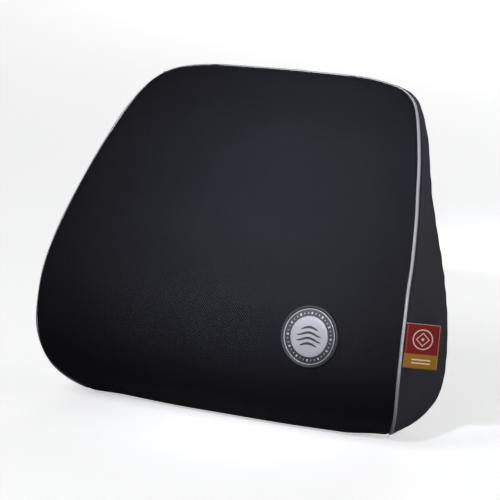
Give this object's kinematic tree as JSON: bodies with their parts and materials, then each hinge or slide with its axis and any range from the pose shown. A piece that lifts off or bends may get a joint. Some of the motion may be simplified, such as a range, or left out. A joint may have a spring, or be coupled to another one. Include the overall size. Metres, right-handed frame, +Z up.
{
  "type": "lumbar support cushion",
  "caption": "Wedge-shaped lumbar support cushion: foam core in a piped zip-off fabric cover with rubber badge, woven side label and buckled back strap.",
  "frame": {"origin": "middle of the flat underside the cushion stands on", "axes": "+X across the width, user's side seen from the front left to right; -Y towards the user (crowned front panel); +Y towards the chair back; +Z up"},
  "size_m": [0.4323, 0.1568, 0.3252],
  "materials": {
    "memory_foam": "open-cell moulded foam",
    "liner_jersey": "thin white jersey",
    "cover_knit": "near-black fine twill knit, matt with a soft sheen",
    "side_mesh": "dark grey air mesh",
    "piping_tape": "grey satin bias tape",
    "piping_core": "white PE cord",
    "badge_rubber": "black soft rubber",
    "badge_silver": "silver ink on soft rubber",
    "woven_label": "red and gold damask weave",
    "zip_tape": "black woven zip tape",
    "zip_coil": "black nylon coil",
    "zip_metal": "black enamelled zinc",
    "zip_stop_metal": "crimped aluminium",
    "elastic_webbing": "black ribbed elastic",
    "buckle_plastic": "black acetal"
  },
  "bodies": {
    "cushion": {"foam_core": "memory_foam", "inner_liner": "liner_jersey", "front_panel": "cover_knit", "side_panel_left": "side_mesh", "side_panel_right": "side_mesh", "back_panel_upper": "side_mesh", "back_panel_lower": "side_mesh", "piping_sleeve": "piping_tape", "piping_cord": "piping_core", "badge_base": "badge_rubber", "badge_ring": "badge_silver", "badge_disc": "badge_silver", "zip_tape_upper": "zip_tape", "zip_tape_lower": "zip_tape", "zip_coil_upper": "zip_coil", "zip_coil_lower": "zip_coil", "zip_top_stops": "zip_stop_metal", "zip_bottom_stop": "zip_stop_metal", "strap_left": "elastic_webbing", "strap_right": "elastic_webbing", "buckle_socket": "buckle_plastic", "buckle_plug": "buckle_plastic"},
    "slider": {"zip_slider": "zip_metal"},
    "pull": {"zip_pull": "zip_metal"},
    "label": {"side_label": "woven_label"},
    "prong_up": {"buckle_prong_upper": "buckle_plastic"},
    "prong_low": {"buckle_prong_lower": "buckle_plastic"},
    "keeper": {"strap_keeper": "buckle_plastic"}
  },
  "joints": [
    {"name": "zip_slide", "type": "slide", "parent": "cushion", "child": "slider", "axis": [-1, 0, 0], "range_m": [0, 0.262]},
    {"name": "zip_pull_flip", "type": "hinge", "parent": "slider", "child": "pull", "pos_m": [0.1337, 0.0295, 0.06206], "axis": [0, 0.0252, -0.9997], "range_deg": [0, 165]},
    {"name": "label_swing", "type": "hinge", "parent": "cushion", "child": "label", "pos_m": [0.20283, -0.05981, 0.10512], "axis": [-0.0222, 0.2266, 0.9737], "range_deg": [-70, 48]},
    {"name": "prong_upper_squeeze", "type": "hinge", "parent": "cushion", "child": "prong_up", "pos_m": [0.0052, 0.0351, 0.1974], "axis": [0, -1, 0], "range_deg": [0, 7], "stiffness_Nm_per_rad": 0.5},
    {"name": "prong_lower_squeeze", "type": "hinge", "parent": "cushion", "child": "prong_low", "pos_m": [0.0052, 0.0351, 0.1706], "axis": [0, 1, 0], "range_deg": [0, 7], "stiffness_Nm_per_rad": 0.5},
    {"name": "keeper_slide", "type": "slide", "parent": "cushion", "child": "keeper", "axis": [1, 0, 0], "range_m": [-0.018, 0.036]}
  ]
}
